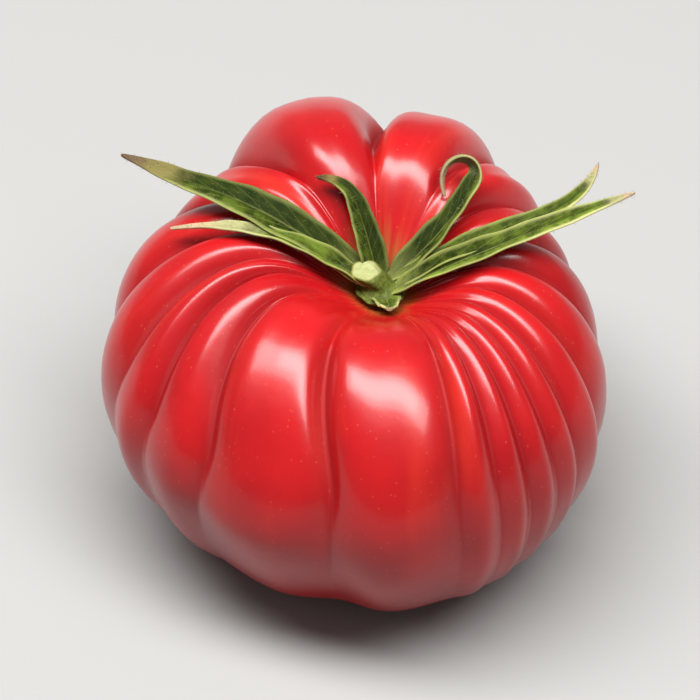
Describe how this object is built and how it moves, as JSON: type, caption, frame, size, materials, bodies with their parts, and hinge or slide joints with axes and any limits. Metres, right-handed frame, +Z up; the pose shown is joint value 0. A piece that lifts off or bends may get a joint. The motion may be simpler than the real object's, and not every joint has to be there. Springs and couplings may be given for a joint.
{
  "type": "beefsteak tomato",
  "caption": "Ripe beefsteak tomato lying stalk end up, broad and deeply ribbed, with a hollow top, a green calyx of long sepals and a short cut stalk.",
  "frame": {"origin": "under the middle of the whole part's bounding box, on the surface that the fruit rests on", "axes": "+Z up out of the stalk end, -Y the side that faces the picture's viewer, +X to that viewer's right"},
  "size_m": [0.0906, 0.0966, 0.0643],
  "materials": {
    "fruit_skin": "smooth waxy red skin, glossy",
    "calyx_green": "matt green leaf, finely hairy"
  },
  "bodies": {
    "root": {"fruit": "fruit_skin", "calyx": "calyx_green"}
  },
  "joints": []
}
